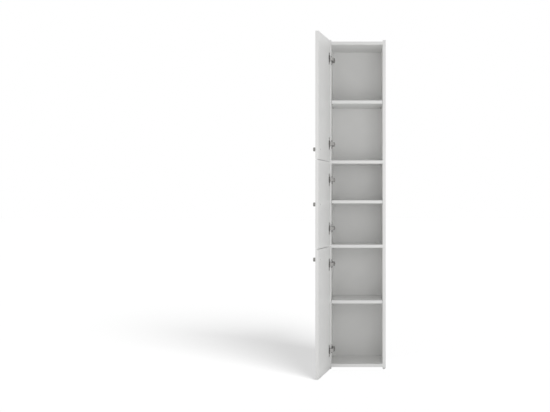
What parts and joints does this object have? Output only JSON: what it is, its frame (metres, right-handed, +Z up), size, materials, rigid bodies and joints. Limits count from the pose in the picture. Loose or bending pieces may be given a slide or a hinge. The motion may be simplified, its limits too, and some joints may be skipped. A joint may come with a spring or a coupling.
{
  "type": "tall bathroom cabinet",
  "caption": "Tall narrow floor-standing cabinet with shelves behind left-hung doors on concealed cup hinges, shown with the doors open.",
  "frame": {"origin": "on the wall plane (the back panel's rear face), midway between the side panels and level with their lower edges; the floor glides reach 7 mm lower", "axes": "+X to the right as seen from the front, +Y back into the wall, +Z up; the doors are hung at -X and open towards -Y"},
  "size_m": [0.3673, 0.5714, 1.7475],
  "materials": {
    "board": "white melamine-coated chipboard, smooth and matt",
    "back": "white lacquered hardboard, raw brown behind",
    "steel": "nickel-plated pressed steel",
    "zinc": "die-cast zinc",
    "knob": "satin nickel",
    "glide": "pale moulded plastic",
    "dowel": "plain beech"
  },
  "bodies": {
    "carcass": {"left_side_panel": "board", "right_side_panel": "board", "top_panel": "board", "bottom_panel": "board", "upper_fixed_shelf": "board", "lower_fixed_shelf": "board", "top_loose_shelf": "board", "middle_loose_shelf": "board", "bottom_loose_shelf": "board", "back_panel": "back", "back_panel_nails": "steel", "cam_bolts": "steel", "cam_discs": "zinc", "wooden_dowels": "dowel", "shelf_pins": "steel", "floor_glides": "glide", "glide_nails": "steel", "wall_bracket": "steel", "bracket_screws": "steel", "mounting_plate_1": "steel", "mounting_plate_2": "steel", "mounting_plate_3": "steel", "mounting_plate_4": "steel", "mounting_plate_5": "steel", "mounting_plate_6": "steel", "plate_screws": "steel", "hinge_arm_1": "steel", "hinge_arm_2": "steel", "hinge_arm_3": "steel", "hinge_arm_4": "steel", "hinge_arm_5": "steel", "hinge_arm_6": "steel", "arm_screws": "steel"},
    "upper_door": {"upper_door": "board", "upper_knob": "knob", "upper_knob_screw": "steel", "hinge_cup_1": "steel", "hinge_cup_2": "steel", "upper_cup_screws": "steel"},
    "upper_cranks": {"upper_hinge_cranks": "steel"},
    "upper_straps": {"upper_hinge_straps": "steel"},
    "middle_door": {"middle_door": "board", "middle_knob": "knob", "middle_knob_screw": "steel", "hinge_cup_3": "steel", "hinge_cup_4": "steel", "middle_cup_screws": "steel"},
    "middle_cranks": {"middle_hinge_cranks": "steel"},
    "middle_straps": {"middle_hinge_straps": "steel"},
    "lower_door": {"lower_door": "board", "lower_knob": "knob", "lower_knob_screw": "steel", "hinge_cup_5": "steel", "hinge_cup_6": "steel", "lower_cup_screws": "steel"},
    "lower_cranks": {"lower_hinge_cranks": "steel"},
    "lower_straps": {"lower_hinge_straps": "steel"}
  },
  "joints": [
    {"name": "upper_door_hinge", "type": "hinge", "parent": "carcass", "child": "upper_door", "pos_m": [-0.147, -0.2788, 1.394], "axis": [0, 0, -1], "range_deg": [-99.5, 5.5]},
    {"name": "upper_crank_pivot", "type": "hinge", "parent": "carcass", "child": "upper_cranks", "pos_m": [-0.125, -0.261, 1.394], "axis": [0, 0, -1], "range_deg": [-99.5, 5.5]},
    {"name": "upper_elbow_pivot", "type": "hinge", "parent": "upper_cranks", "child": "upper_straps", "pos_m": [-0.12465, -0.28134, 1.394], "axis": [0, 0, -1], "range_deg": [-5.5, 99.5]},
    {"name": "middle_door_hinge", "type": "hinge", "parent": "carcass", "child": "middle_door", "pos_m": [-0.147, -0.2788, 0.85675], "axis": [0, 0, -1], "range_deg": [-99.5, 5.5]},
    {"name": "middle_crank_pivot", "type": "hinge", "parent": "carcass", "child": "middle_cranks", "pos_m": [-0.125, -0.261, 0.85675], "axis": [0, 0, -1], "range_deg": [-99.5, 5.5]},
    {"name": "middle_elbow_pivot", "type": "hinge", "parent": "middle_cranks", "child": "middle_straps", "pos_m": [-0.12465, -0.28134, 0.85675], "axis": [0, 0, -1], "range_deg": [-5.5, 99.5]},
    {"name": "lower_door_hinge", "type": "hinge", "parent": "carcass", "child": "lower_door", "pos_m": [-0.147, -0.2788, 0.3165], "axis": [0, 0, -1], "range_deg": [-99.5, 5.5]},
    {"name": "lower_crank_pivot", "type": "hinge", "parent": "carcass", "child": "lower_cranks", "pos_m": [-0.125, -0.261, 0.3165], "axis": [0, 0, -1], "range_deg": [-99.5, 5.5]},
    {"name": "lower_elbow_pivot", "type": "hinge", "parent": "lower_cranks", "child": "lower_straps", "pos_m": [-0.12465, -0.28134, 0.3165], "axis": [0, 0, -1], "range_deg": [-5.5, 99.5]}
  ],
  "couplings": [
    {"joint": "upper_crank_pivot", "follows": "upper_door_hinge", "ratio": 1},
    {"joint": "upper_elbow_pivot", "follows": "upper_door_hinge", "ratio": -1},
    {"joint": "middle_crank_pivot", "follows": "middle_door_hinge", "ratio": 1},
    {"joint": "middle_elbow_pivot", "follows": "middle_door_hinge", "ratio": -1},
    {"joint": "lower_crank_pivot", "follows": "lower_door_hinge", "ratio": 1},
    {"joint": "lower_elbow_pivot", "follows": "lower_door_hinge", "ratio": -1}
  ]
}
